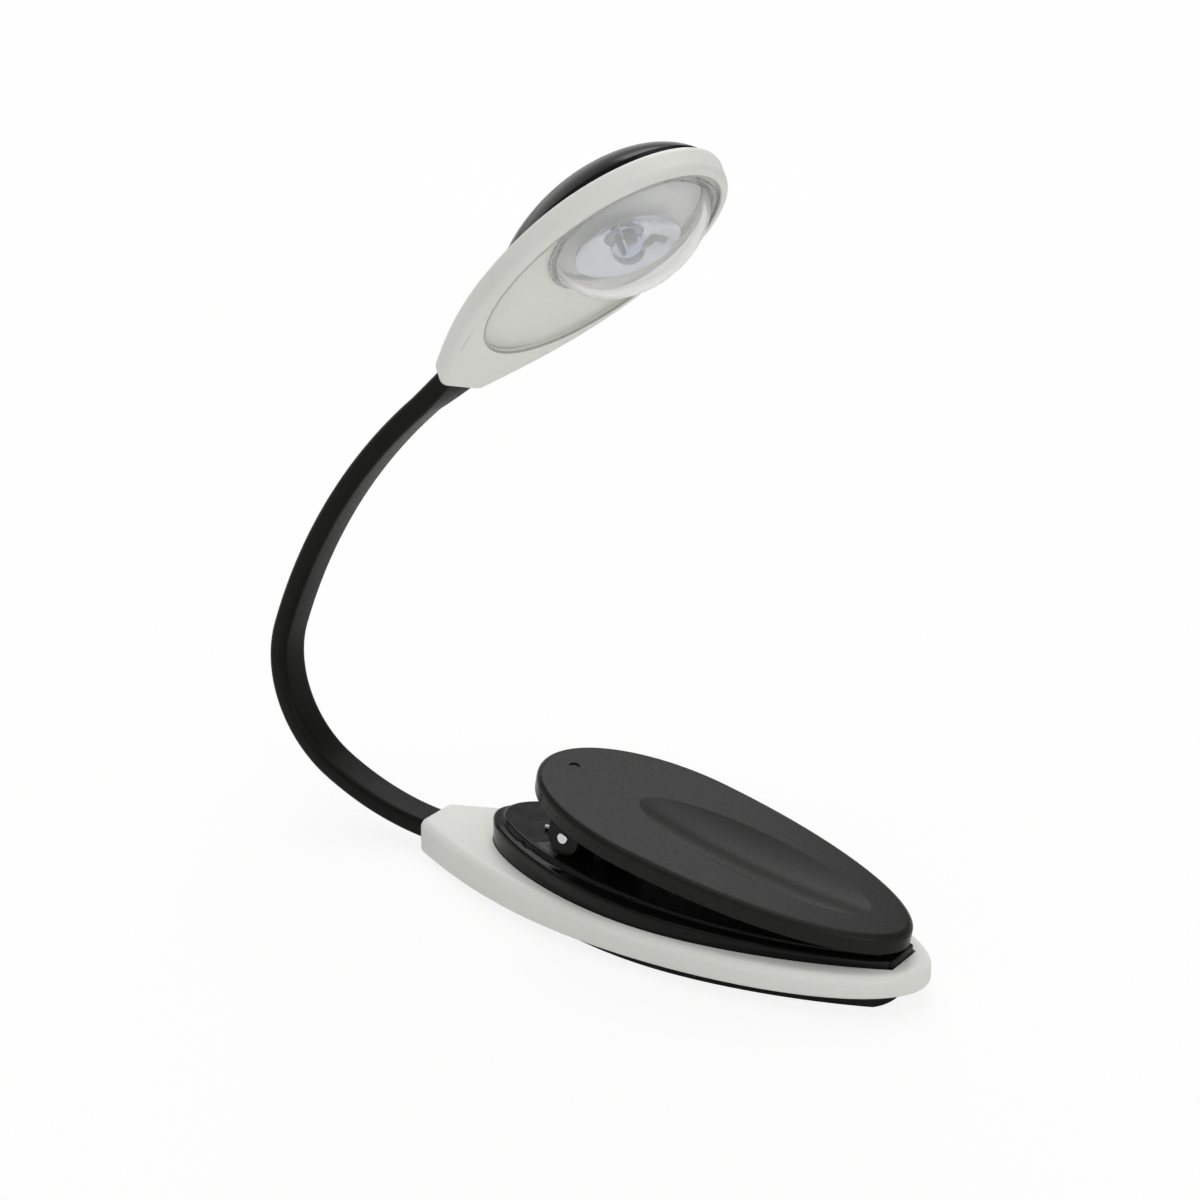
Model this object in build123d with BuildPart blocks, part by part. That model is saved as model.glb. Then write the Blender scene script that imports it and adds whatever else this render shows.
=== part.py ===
# Clip-on reading lamp: battery base with a sprung clip, flat gooseneck and a small lens head.
# The base lies along X with its neck end at -X, its foot on Z = 0 and its middle at the origin.
import os
from math import asin, atan2, ceil, cos, degrees, radians, sin, sqrt

from build123d import *

os.makedirs("parts", exist_ok=True)

# Coin cells and the well that holds them
cell_diameter = 20.0
cell_height = 3.2
cell_spacing = 21.4
cell_middle_x = 3.5
well_clearance = 0.3
well_wall = 0.9
well_roof = 0.9
contact_thickness = 0.3
contact_width = 4.0
contact_tab = 3.0
cell_play = 0.1
cell_cap_step = 0.4
cell_cap_inset = 1.4

# Base
base_length = 93.0
rim_top = 6.8
sill_rear = 1.3
sill_front = 3.2
collar_height = 4.2
rim_wall = 1.6
rim_flange = 1.2
rim_flange_reach = 2.0
rim_top_round = 1.5
collar_half = 3.9
collar_length = 13.4
nose_length = 3.9
leaf_flare = 0.5
widest_x = 3.0
shell_wall = 1.4
shell_room = 1.9
seat_clearance = 0.15
blunt_front = 3.5
blunt_share = 0.3
blunt_least = 1.0
shell_nose_pull = 10.0
shell_nose_rise = 5.5
shell_front_pull = 14.0
shell_rear_pull = 18.0
shell_tail_rise = 6.0
shoulder_rear = 11.0
shoulder_front = 7.95
plateau_rear = 12.2
plateau_front = 8.45
plateau_inset = 2.3
shoulder_round = 0.7
plateau_round = 0.5
cover_inset = 0.5
cover_reach = 1.0
cover_round = 0.7
door_thickness = 1.2
door_lip = 0.45
door_play = 0.15
door_tab_radius = 2.8
door_screw_length = 3.2
grip_depth = 0.3
grip_pitch = 2.4
grip_length = 8.0
grip_width = 1.0
boss_radius = 2.1
screw_radius = 0.9
screw_head_radius = 1.7
screw_head_height = 0.8
screw_length = 4.9
screw_fit = 0.05
screw_sink = 0.1
cross_length = 1.3
cross_width = 0.3
screw_rear_inset = 7.0
screw_front_gap = 3.8
corner_round = 1.8
rim_bottom_round = 0.5

# Clip
lever_tilt = 10.0
lever_tail = 10.2
lever_reach = 57.0
lever_widest = 14.2
lever_half = 14.7
lever_plate = 2.0
lever_edge = 3.0
lever_wall = 1.7
lever_round = 1.1
dimple_start = 8.0
dimple_end = 50.0
dimple_depth = 1.2
dimple_half = 6.5
spot_radius = 0.9
spot_depth = 0.25
pin_x = -14.0
pin_z = 14.3
pin_radius = 1.0
pin_fit = 0.05
pin_drop = 7.6
pin_proud = 0.3
ear_radius = 2.8
ear_thickness = 2.3
hinge_gap = 0.3
hinge_boss = 2.6
hinge_boss_radius = 2.5
spring_room = 6.6
spring_wire = 0.7
spring_radius = 2.0
spring_turns = 3
spring_pitch = 1.25
spring_leg = 7.5
spring_touch = 0.05
pad_length = 12.0
pad_half = 5.0
pad_end = 4.5
jaw_gap = 0.3

# Neck, a flat sleeve along three arcs that start at the base collar
neck_width = 6.1
neck_thickness = 3.4
neck_corner = 1.1
neck_heading = 177.0
neck_low_length = 21.0
neck_low_turn = 24.0
neck_knee_length = 28.0
neck_knee_turn = 83.0
neck_top_length = 57.0
neck_top_turn = 30.0
neck_links = 8
neck_first_joint = 9.0
neck_tip_length = 5.0
neck_plug = 6.5
neck_fit = 0.1
tenon_step = 0.7
tenon_corner = 0.4
knuckle_radius = 1.6
joint_gap = 0.3
twist_gap = 0.6
swivel_radius = 1.0
swivel_length = 3.0
wire_radius = 0.45
lead_half = 0.75
lead_bend = 1.2

# Head, measured from its collar along its own axis
head_length = 61.0
head_half = 13.8
head_widest = 37.0
head_pitch = 2.0
head_roll = 22.0
head_rim = 4.4
head_collar_half = 3.9
head_round = 1.2
head_wall = 1.4
head_ledge = 1.0
shelf_height = -0.3
step_start = 11.0
step_inset = 1.4
step_depth = 0.9
cap_start = 17.0
cap_bulge = 8.5
cap_edge = 0.6
cap_wall = 1.2
cap_seat = 0.8
cap_clearance = 0.3
cap_travel = 0.8
lens_middle = 43.5
lens_half_length = 14.7
lens_radius = 11.0
lens_rise = 2.9
lens_wall = 1.1
lens_flange = 0.5
lens_flange_thickness = 0.6
lens_fit = 0.15
scoop_middle = 18.0
scoop_half_length = 8.0
scoop_half = 6.2
scoop_depth = 0.6
board_gap = 4.0
board_half = 10.7
board_thickness = 0.8
board_screw_inset = 3.5
board_screw_half = 4.2
board_screw_radius = 0.7
board_screw_head = 1.2
board_screw_length = 1.5
lead_height = 0.6
led_station = 42.0
led_radius = 2.5
led_flange = 0.4
led_height = 5.0
led_round = 2.2
reflector_radius = 8.0
reflector_depth = 2.2
reflector_wall = 0.5
switch_side = 6.0
switch_height = 2.6
switch_floor = 0.4
plunger_radius = 1.5
cap_touch = 0.1

# Places worked out from the sizes
base_rear = -base_length / 2
base_front = base_length / 2
well_inside = cell_diameter / 2 + well_clearance
well_outside = well_inside + well_wall
shell_half = well_outside + shell_room + shell_wall
rim_half = shell_half + seat_clearance + rim_wall
shell_rear = base_rear + collar_length
shell_front = base_front - nose_length
cell_ends = [cell_middle_x - cell_spacing / 2, cell_middle_x + cell_spacing / 2]
cell_bottom = door_thickness + cell_play
cell_top = cell_bottom + cell_height
contact_bottom = cell_top + cell_play
roof_bottom = contact_bottom + contact_thickness
roof_top = roof_bottom + well_roof
flange_top = sill_front + rim_flange
door_tab_x = cell_ends[1] + well_outside + screw_radius
door_tab_end = door_tab_x + door_tab_radius
screw_places = [shell_rear + screw_rear_inset, door_tab_end + screw_front_gap + screw_head_radius]
channel_width = 2 * lead_half + 2 * wire_radius + 4 * neck_fit
channel_height = 2 * wire_radius + 4 * neck_fit
collar_mouth = Vector(base_rear, 0, collar_height)


def leaf(plane, rear, rear_half, widest, half, front):
    """Leaf outline: narrow straight rear end, full middle, round elliptical front."""
    with BuildSketch(plane) as outline:
        with BuildLine():
            Line((rear, -rear_half), (rear, rear_half))
            Spline((rear, rear_half), (widest, half), tangents=((1, leaf_flare), (1, 0)))
            EllipticalCenterArc((widest, 0), front - widest, half, -90, arc_size=180)
            Spline((rear, -rear_half), (widest, -half), tangents=((1, -leaf_flare), (1, 0)))
        make_face()
    return outline.sketch


def shield(plane, inset=0.0, reach=0.0):
    """Outline of the black housing: rounded rear point, blunt front."""
    rear = shell_rear + inset
    front = shell_front - inset + reach
    half = shell_half - inset
    blunt = max(blunt_front - blunt_share * inset, blunt_least)
    with BuildSketch(plane) as outline:
        with BuildLine():
            Line((front, -blunt), (front, blunt))
            for side in (-1, 1):
                waist = (widest_x, side * half)
                nose = (front - shell_nose_pull, side * (blunt + shell_nose_rise))
                Bezier((front, side * blunt), nose, (widest_x + shell_front_pull, side * half), waist)
                tail = (rear, side * shell_tail_rise)
                Bezier((rear, 0), tail, (widest_x - shell_rear_pull, side * half), waist)
        make_face()
    return outline.sketch


def egg(plane, rear, widest, half, front):
    """Egg outline of two half ellipses that meet at the widest place."""
    with BuildSketch(plane) as outline:
        with BuildLine():
            EllipticalCenterArc((widest, 0), front - widest, half, -90, arc_size=180)
            EllipticalCenterArc((widest, 0), widest - rear, half, 90, arc_size=180)
        make_face()
    return outline.sketch


def cell_slot(plane, radius):
    """Stadium outline round both cells."""
    with BuildSketch(plane) as outline:
        with Locations((cell_middle_x, 0)):
            SlotCenterToCenter(cell_spacing, 2 * radius)
    return outline.sketch


def roof_plane(rear_height, front_height):
    """Sloping plane over the housing, high at the neck end."""
    run = Vector(shell_front - shell_rear, 0, front_height - rear_height)
    return Plane(origin=(shell_rear, 0, rear_height), x_dir=run, z_dir=Vector(0, -1, 0).cross(run))


shoulder = roof_plane(shoulder_rear, shoulder_front)
plateau = roof_plane(plateau_rear, plateau_front)
sill = roof_plane(sill_rear, sill_front)


def dish(plane, start, end, depth, half):
    """Boat-shaped cutter that sinks to a depth below a plane, for thumb dimples and scoops."""
    sweep_radius = (half**2 + depth**2) / (2 * depth)
    middle = (start + end) / 2
    side = Plane(origin=plane.origin, x_dir=plane.x_dir, z_dir=plane.x_dir.cross(plane.z_dir))
    axis_height = sweep_radius - depth
    with BuildPart() as cutter:
        with BuildSketch(side):
            with BuildLine():
                ThreePointArc((start, 0), (middle, -depth), (end, 0))
                Line((end, 0), (end, axis_height))
                Line((end, axis_height), (start, axis_height))
                Line((start, axis_height), (start, 0))
            make_face()
        revolve(axis=Axis(side.from_local_coords((0, axis_height, 0)), side.x_dir))
    return cutter.part


def spheroid(plane, middle, height, half_length, radius):
    """Spheroid whose long axis lies along the plane's x direction at a height above the plane."""
    side = Plane(origin=plane.origin, x_dir=plane.x_dir, z_dir=plane.x_dir.cross(plane.z_dir))
    with BuildPart() as body:
        with BuildSketch(side):
            with BuildLine():
                EllipticalCenterArc((middle, height), half_length, radius, 180, arc_size=180)
                Line((middle - half_length, height), (middle + half_length, height))
            make_face()
        revolve(axis=Axis(side.from_local_coords((middle, height, 0)), side.x_dir))
    return body.part


# Neck centre line
neck_runs = [
    (neck_low_length, neck_low_turn),
    (neck_knee_length, neck_knee_turn),
    (neck_top_length, neck_top_turn),
]
neck_length = neck_low_length + neck_knee_length + neck_top_length
neck_bends = [0.0, neck_low_length, neck_low_length + neck_knee_length, neck_length]


def neck_place(s):
    """Point and heading on the neck's centre line, s from the collar mouth."""
    x = collar_mouth.X
    z = collar_mouth.Z
    heading = radians(neck_heading)
    left = s
    if s < 0:
        return Vector(x + s * cos(heading), 0, z + s * sin(heading)), heading
    for length, turn in neck_runs:
        step = min(left, length)
        radius = length / radians(turn)
        turned = heading - step / radius
        x += radius * (sin(heading) - sin(turned))
        z += radius * (cos(turned) - cos(heading))
        heading = turned
        left -= step
    return Vector(x + left * cos(heading), 0, z + left * sin(heading)), heading


def neck_plane(s):
    """Cross-section plane of the neck, its normal along the neck."""
    point, heading = neck_place(s)
    return Plane(origin=point, x_dir=(0, 1, 0), z_dir=(cos(heading), 0, sin(heading)))


def neck_hinge(s):
    """Plane whose normal is the hinge axis of a neck joint."""
    point, heading = neck_place(s)
    return Plane(origin=point, x_dir=(cos(heading), 0, sin(heading)), z_dir=(0, -1, 0))


def neck_piece(start, end, socket, knuckle):
    """Length of sleeve with a hollow at its start and a round knuckle at its end."""
    stops = [start] + [bend for bend in neck_bends if start < bend < end] + [end]
    with BuildPart() as piece:
        with BuildLine() as path:
            for low, high in zip(stops, stops[1:]):
                if low < 0 or high > neck_length:
                    Line(neck_place(low)[0], neck_place(high)[0])
                else:
                    ThreePointArc(neck_place(low)[0], neck_place((low + high) / 2)[0], neck_place(high)[0])
        with BuildSketch(neck_plane(start)):
            RectangleRounded(neck_width, neck_thickness, neck_corner)
        sweep(path=path.wires()[0])
        if knuckle:
            with BuildSketch(neck_plane(end)):
                RectangleRounded(neck_width, 2 * knuckle_radius, neck_corner)
                split(bisect_by=Plane.XZ)
            revolve(axis=Axis(neck_place(end)[0], (0, 1, 0)))
        if socket:
            with BuildSketch(neck_hinge(start).offset(-neck_width)):
                Circle(knuckle_radius + joint_gap)
            extrude(amount=2 * neck_width, mode=Mode.SUBTRACT)
    return piece.part


def block(floor, inset, roof, edge_round):
    """Block on the housing's outline under a sloping roof, its top edge rounded."""
    with BuildPart() as body:
        extrude(shield(Plane.XY.offset(floor), inset), amount=2 * pin_z)
        split(bisect_by=roof, keep=Keep.BOTTOM)
        if edge_round > 0:
            fillet(body.faces().sort_by(Axis.Z)[-1].edges(), radius=edge_round)
    return body.part


def pillar(place):
    """Screw boss from the cover up into the housing's roof."""
    with BuildPart() as body:
        with BuildSketch(Plane.XY):
            with Locations((place, 0)):
                Circle(boss_radius)
        extrude(amount=2 * pin_z)
        split(bisect_by=plateau.offset(-shell_wall / 2), keep=Keep.BOTTOM)
        split(bisect_by=sill, keep=Keep.TOP)
    return body.part


def screw(plane, head_radius, head_height, shank_radius, length):
    """Pan-head screw whose head stands on a plane, the shank running along its normal."""
    with BuildPart() as body:
        with BuildSketch(plane):
            Circle(head_radius)
        extrude(amount=head_height)
        fillet(body.edges().sort_by(Axis(plane.origin, plane.z_dir))[0], radius=head_height / 3)
        with BuildSketch(plane.offset(head_height)):
            Circle(shank_radius)
        extrude(amount=length)
        chamfer(body.edges().sort_by(Axis(plane.origin, plane.z_dir))[-1], length=shank_radius / 3)
        with BuildSketch(plane):
            Rectangle(cross_length * head_radius, cross_width * head_radius)
            Rectangle(cross_width * head_radius, cross_length * head_radius)
        extrude(amount=head_height / 2, mode=Mode.SUBTRACT)
    return body.part


def wire(points, bend):
    """Insulated wire along straight runs with round bends."""
    run = points[1] - points[0]
    with BuildPart() as body:
        with BuildLine() as path:
            FilletPolyline(*points, radius=bend)
        with BuildSketch(Plane(origin=points[0], z_dir=run)):
            Circle(wire_radius)
        sweep(path=path.wires()[0])
    return body.part


# White frame of the base with the neck collar
with BuildPart() as base_frame:
    extrude(leaf(Plane.XY, base_rear, collar_half, widest_x, rim_half, base_front), amount=rim_top)
    fillet(base_frame.edges().filter_by(Axis.Z), radius=corner_round)
    fillet(base_frame.faces().sort_by(Axis.Z)[-1].edges(), radius=rim_top_round)
    split(bisect_by=sill, keep=Keep.TOP)
    fillet(base_frame.faces().sort_by(Axis.Z)[0].edges(), radius=rim_bottom_round)
    extrude(shield(Plane.XY.offset(flange_top), -seat_clearance), amount=rim_top, mode=Mode.SUBTRACT)
    extrude(shield(Plane.XY, rim_flange_reach), amount=rim_top, mode=Mode.SUBTRACT)
    with BuildSketch(neck_plane(-neck_plug)):
        RectangleRounded(neck_width + 2 * neck_fit, neck_thickness + 2 * neck_fit, neck_corner)
    extrude(amount=2 * neck_plug, mode=Mode.SUBTRACT)
    with BuildSketch(neck_plane(-neck_plug)):
        SlotOverall(channel_width, channel_height)
    extrude(amount=neck_plug - collar_length - rim_flange_reach - wire_radius, mode=Mode.SUBTRACT)
base_frame.part.label = "base_frame"
export_step(base_frame.part, "parts/base_frame.step")

# Black upper housing with its step, hinge bosses and screw bosses
boss_inside = spring_room / 2
with BuildPart() as top_housing:
    add(block(flange_top, 0, shoulder, shoulder_round))
    add(block(flange_top, plateau_inset, plateau, plateau_round))
    add(block(0, shell_wall, shoulder.offset(-shell_wall), 0), mode=Mode.SUBTRACT)
    add(block(0, plateau_inset + shell_wall, plateau.offset(-shell_wall), 0), mode=Mode.SUBTRACT)
    for start in (boss_inside, -boss_inside - hinge_boss):
        with BuildSketch(Plane.XZ.offset(start)):
            with Locations((pin_x, pin_z)):
                Circle(hinge_boss_radius)
            with Locations((pin_x, pin_z)):
                Rectangle(2 * hinge_boss_radius, pin_z - plateau_front, align=(Align.CENTER, Align.MAX))
        extrude(amount=hinge_boss)
    with BuildSketch(Plane.XZ):
        with Locations((pin_x, pin_z)):
            Circle(pin_radius + pin_fit)
    extrude(amount=shell_half, both=True, mode=Mode.SUBTRACT)
    for place in screw_places:
        add(pillar(place))
        with BuildSketch(Plane.XY):
            with Locations((place, 0)):
                Circle(screw_radius + screw_fit)
        extrude(amount=screw_length + screw_head_height + 2 * screw_sink, mode=Mode.SUBTRACT)
    with BuildSketch(neck_plane(rim_wall - collar_length)):
        SlotOverall(channel_width, channel_height)
    extrude(amount=-rim_wall - 2 * shell_wall, mode=Mode.SUBTRACT)
top_housing.part.label = "top_housing"
export_step(top_housing.part, "parts/top_housing.step")

# Underside with the battery well
with BuildPart() as bottom_cover:
    extrude(shield(Plane.XY, cover_inset, cover_reach), amount=rim_top)
    split(bisect_by=sill, keep=Keep.BOTTOM)
    fillet(bottom_cover.faces().sort_by(Axis.Z)[0].edges(), radius=cover_round)
    extrude(cell_slot(Plane.XY, well_outside), amount=roof_top)
    with BuildSketch(Plane.XY):
        with Locations((door_tab_x, 0)):
            Circle(boss_radius)
    extrude(amount=roof_top)
    extrude(cell_slot(Plane.XY, well_inside), amount=roof_bottom, mode=Mode.SUBTRACT)
    door_hole = well_inside + door_lip + door_play
    extrude(cell_slot(Plane.XY, door_hole), amount=door_thickness, mode=Mode.SUBTRACT)
    with BuildSketch(Plane.XY):
        with Locations((door_tab_x, 0)):
            Circle(door_tab_radius + door_play)
    extrude(amount=door_thickness, mode=Mode.SUBTRACT)
    with BuildSketch(Plane.XY):
        with Locations((door_tab_x, 0)):
            Circle(screw_radius + screw_fit)
    extrude(amount=roof_bottom, mode=Mode.SUBTRACT)
    for place in screw_places:
        with BuildSketch(Plane.XY):
            with Locations((place, 0)):
                Circle(screw_radius + screw_fit)
        extrude(amount=rim_top, mode=Mode.SUBTRACT)
        with BuildSketch(Plane.XY):
            with Locations((place, 0)):
                Circle(screw_head_radius + 2 * screw_fit)
        extrude(amount=screw_head_height + screw_sink, mode=Mode.SUBTRACT)
    # slots in the well's roof and walls for the contacts
    with BuildSketch(Plane.XY.offset(cell_bottom)):
        with Locations((cell_ends[0] - cell_diameter / 2 - contact_thickness, 0)):
            Rectangle(3 * contact_thickness, contact_width + 2 * cell_play)
        with Locations((cell_ends[1] - contact_tab, 0)):
            Rectangle(2 * contact_thickness, contact_width + 2 * cell_play)
    extrude(amount=roof_top, mode=Mode.SUBTRACT)
bottom_cover.part.label = "bottom_cover"
export_step(bottom_cover.part, "parts/bottom_cover.step")

# Battery door with its screw tab
with BuildPart() as battery_door:
    extrude(cell_slot(Plane.XY, well_inside + door_lip), amount=door_thickness)
    with BuildSketch(Plane.XY):
        with Locations((door_tab_x, 0)):
            Circle(door_tab_radius)
    extrude(amount=door_thickness)
    with BuildSketch(Plane.XY):
        with Locations((door_tab_x, 0)):
            Circle(screw_radius + screw_fit)
    extrude(amount=door_thickness, mode=Mode.SUBTRACT)
    with BuildSketch(Plane.XY):
        with Locations((door_tab_x, 0)):
            Circle(screw_head_radius + 2 * screw_fit)
    extrude(amount=screw_head_height + screw_sink, mode=Mode.SUBTRACT)
    with BuildSketch(Plane.XY):
        with Locations((cell_ends[0], 0)):
            with GridLocations(grip_pitch, 0, 3, 1):
                SlotOverall(grip_length, grip_width, rotation=90)
    extrude(amount=grip_depth, mode=Mode.SUBTRACT)
battery_door.part.label = "battery_door"
export_step(battery_door.part, "parts/battery_door.step")

# Screws of the base
door_screw_plane = Plane(origin=(door_tab_x, 0, screw_sink), z_dir=(0, 0, 1))
door_screw = screw(door_screw_plane, screw_head_radius, screw_head_height, screw_radius, door_screw_length)
door_screw.label = "door_screw"
export_step(door_screw, "parts/door_screw.step")

with BuildPart() as case_screws:
    for place in screw_places:
        seat = Plane(origin=(place, 0, screw_sink), z_dir=(0, 0, 1))
        add(screw(seat, screw_head_radius, screw_head_height, screw_radius, screw_length))
case_screws.part.label = "case_screws"
export_step(case_screws.part, "parts/case_screws.step")

# Two coin cells, can below and smaller cap above
with BuildPart() as coin_cells:
    for place in cell_ends:
        with BuildSketch(Plane.XY.offset(cell_bottom)):
            with Locations((place, 0)):
                Circle(cell_diameter / 2)
        extrude(amount=cell_height - cell_cap_step)
        with BuildSketch(Plane.XY.offset(cell_top - cell_cap_step)):
            with Locations((place, 0)):
                Circle(cell_diameter / 2 - cell_cap_inset)
        extrude(amount=cell_cap_step)
coin_cells.part.label = "coin_cells"
export_step(coin_cells.part, "parts/coin_cells.step")

# Sheet-metal contacts, their solder tabs standing through the well's roof
tab_top = roof_top + 2 * wire_radius
with BuildPart() as contact_positive:
    with BuildSketch(Plane.XZ.offset(-contact_width / 2)):
        with Locations((cell_ends[0] - cell_diameter / 2 - cell_play, cell_bottom + cell_play)):
            Rectangle(contact_thickness, tab_top - cell_bottom - cell_play, align=(Align.MAX, Align.MIN))
    extrude(amount=contact_width)
contact_positive.part.label = "contact_positive"
export_step(contact_positive.part, "parts/contact_positive.step")

bridge_end = cell_ends[1] - cell_diameter / 2 - cell_play
with BuildPart() as contact_bridge:
    with BuildSketch(Plane.XZ.offset(-contact_width / 2)):
        with Locations((bridge_end, roof_bottom)):
            bridge_length = bridge_end - cell_ends[0] + contact_tab
            Rectangle(bridge_length, contact_thickness, align=(Align.MAX, Align.MAX))
        with Locations((bridge_end, roof_bottom)):
            bridge_drop = roof_bottom - cell_bottom - cell_play
            Rectangle(contact_thickness, bridge_drop, align=(Align.MAX, Align.MAX))
    extrude(amount=contact_width)
contact_bridge.part.label = "contact_bridge"
export_step(contact_bridge.part, "parts/contact_bridge.step")

with BuildPart() as contact_negative:
    with BuildSketch(Plane.XZ.offset(-contact_width / 2)):
        with Locations((cell_ends[1] - contact_tab, roof_bottom)):
            Rectangle(2 * contact_tab, contact_thickness, align=(Align.MIN, Align.MAX))
        with Locations((cell_ends[1] - contact_tab, contact_bottom)):
            Rectangle(contact_thickness, tab_top - contact_bottom, align=(Align.CENTER, Align.MIN))
    extrude(amount=contact_width)
contact_negative.part.label = "contact_negative"
export_step(contact_negative.part, "parts/contact_negative.step")

# Steel hinge pin
pin_half = boss_inside + hinge_boss + hinge_gap + ear_thickness + pin_proud
with BuildPart() as hinge_pin:
    with BuildSketch(Plane.XZ.offset(-pin_half)):
        with Locations((pin_x, pin_z)):
            Circle(pin_radius)
    extrude(amount=2 * pin_half)
    fillet(hinge_pin.edges().filter_by(GeomType.CIRCLE), radius=pin_radius / 3)
hinge_pin.part.label = "hinge_pin"
export_step(hinge_pin.part, "parts/hinge_pin.step")

# Lever of the clip, a tilted egg-shaped plate with a rim, a thumb dimple and two ears
pin_point = Vector(pin_x, 0, pin_z)
lever_along = Vector(cos(radians(lever_tilt)), 0, -sin(radians(lever_tilt)))
lever_up = Vector(sin(radians(lever_tilt)), 0, cos(radians(lever_tilt)))
lever_plane = Plane(origin=pin_point + lever_up * pin_drop, x_dir=lever_along, z_dir=lever_up)
lever_side = Plane(origin=lever_plane.origin, x_dir=lever_along, z_dir=(0, -1, 0))
ear_inside = boss_inside + hinge_boss + hinge_gap
with BuildPart() as clip_lever:
    edge_plane = lever_plane.offset(-lever_edge)
    extrude(egg(edge_plane, -lever_tail, lever_widest, lever_half, lever_reach), amount=lever_edge)
    fillet(clip_lever.faces().sort_by(Axis(lever_plane.origin, lever_up))[-1].edges(), radius=lever_round)
    hollow = egg(
        lever_plane.offset(-lever_plate),
        lever_wall - lever_tail,
        lever_widest,
        lever_half - lever_wall,
        lever_reach - lever_wall,
    )
    extrude(hollow, amount=-lever_edge, mode=Mode.SUBTRACT)
    add(dish(lever_plane, dimple_start, dimple_end, dimple_depth, dimple_half), mode=Mode.SUBTRACT)
    for start in (ear_inside, -ear_inside - ear_thickness):
        with BuildSketch(lever_side.offset(start)):
            with Locations((0, -pin_drop)):
                Circle(ear_radius)
            with Locations((0, -lever_plate / 2)):
                Rectangle(2 * ear_radius, pin_drop - lever_plate / 2, align=(Align.CENTER, Align.MAX))
        extrude(amount=ear_thickness)
    with BuildSketch(lever_side):
        with Locations((0, -pin_drop)):
            Circle(pin_radius + pin_fit)
    extrude(amount=lever_half, both=True, mode=Mode.SUBTRACT)
    with BuildSketch(lever_plane):
        with Locations((-lever_tail / 2, 0)):
            Circle(spot_radius)
    extrude(amount=-spot_depth, mode=Mode.SUBTRACT)
clip_lever.part.label = "clip_lever"
export_step(clip_lever.part, "parts/clip_lever.step")

# Soft pad under the lever's tip, its foot just off the housing
with BuildPart() as jaw_pad:
    with BuildSketch(lever_plane.offset(-lever_plate)):
        with Locations((lever_reach - pad_end - pad_length / 2, 0)):
            Ellipse(pad_length / 2, pad_half)
    extrude(amount=-2 * pin_drop)
    split(bisect_by=plateau.offset(jaw_gap), keep=Keep.TOP)
jaw_pad.part.label = "jaw_pad"
export_step(jaw_pad.part, "parts/jaw_pad.step")

# Torsion spring round the pin: both legs run to the rear, one under the lever, one on the housing
leg_span = sqrt(spring_radius**2 + spring_leg**2)
leg_rise = degrees(atan2(spring_radius, spring_leg))
slope = degrees(atan2(plateau_rear - plateau_front, shell_front - shell_rear))
lever_gap = pin_drop - lever_plate - spring_wire / 2 - spring_touch
floor_gap = (pin_point - plateau.origin).dot(plateau.z_dir) - spring_wire / 2 - spring_touch
upper_lift = lever_tilt + degrees(asin(lever_gap / leg_span)) - leg_rise
lower_drop = degrees(asin(floor_gap / leg_span)) - leg_rise - slope
first_angle = lower_drop - 90
last_angle = 90 - upper_lift + 360 * spring_turns
half_turns = ceil((last_angle - first_angle) / 180)
coil_length = spring_pitch * (last_angle - first_angle) / 360


def coil_place(angle):
    """Point and direction on the spring's coil at an angle about the pin."""
    turn = radians(angle)
    across = coil_length * ((angle - first_angle) / (last_angle - first_angle) - 0.5)
    rise = spring_pitch / 360 / radians(1)
    point = pin_point + Vector(spring_radius * cos(turn), across, spring_radius * sin(turn))
    return point, Vector(-spring_radius * sin(turn), rise, spring_radius * cos(turn)).normalized()


def biarc(start, start_way, end, end_way):
    """Two arcs that join two points and leave each along its own direction."""
    span = end - start
    ways = start_way + end_way
    spread = 2 * (1 - start_way.dot(end_way))
    reach = (sqrt(span.dot(ways) ** 2 + spread * span.dot(span)) - span.dot(ways)) / spread
    low = start + start_way * reach
    high = end - end_way * reach
    middle = (low + high) * 0.5
    TangentArc(start, middle, tangent=start_way)
    TangentArc(middle, end, tangent=high - low)


with BuildPart() as clip_spring:
    with BuildLine() as spring_path:
        stops = [first_angle + (last_angle - first_angle) * n / half_turns for n in range(half_turns + 1)]
        coil = [coil_place(angle) for angle in stops]
        Line(coil[0][0] - coil[0][1] * spring_leg, coil[0][0])
        for (start, start_way), (end, end_way) in zip(coil, coil[1:]):
            biarc(start, start_way, end, end_way)
        Line(coil[-1][0], coil[-1][0] + coil[-1][1] * spring_leg)
    with BuildSketch(Plane(origin=spring_path.line @ 0, z_dir=spring_path.line % 0)):
        Circle(spring_wire / 2)
    sweep(path=spring_path.wires()[0])
clip_spring.part.label = "clip_spring"
# least gap of the wire to itself, measured between points more than half a turn apart
coil_turns = (last_angle - first_angle) / 360
samples = [coil_place(first_angle + 10 * n)[0] for n in range(int(36 * coil_turns) + 1)]
gaps = [(a - b).length for n, a in enumerate(samples) for b in samples[n + 18:]]
print("spring gap", round(min(gaps) - spring_wire, 3), "mm")
export_step(clip_spring.part, "parts/clip_spring.step")

# Head planes: x along the head, z towards the black cap, rolled about the neck's end
twist_point, twist_heading = neck_place(neck_length)
head_heading = twist_heading + radians(head_pitch)
head_along = Vector(cos(head_heading), 0, sin(head_heading))
head_point = twist_point + head_along * neck_tip_length
head_flat = Vector(-sin(head_heading), 0, cos(head_heading))
head_up = head_flat * cos(radians(head_roll)) + Vector(0, sin(radians(head_roll)), 0)
head_plane = Plane(origin=head_point, x_dir=head_along, z_dir=head_up)
head_top = head_rim / 2
under_point = head_plane.offset(step_depth - head_top).origin
under_plane = Plane(origin=under_point, x_dir=head_along, z_dir=-head_up)
head_axis = Axis(head_point, head_up)


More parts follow.
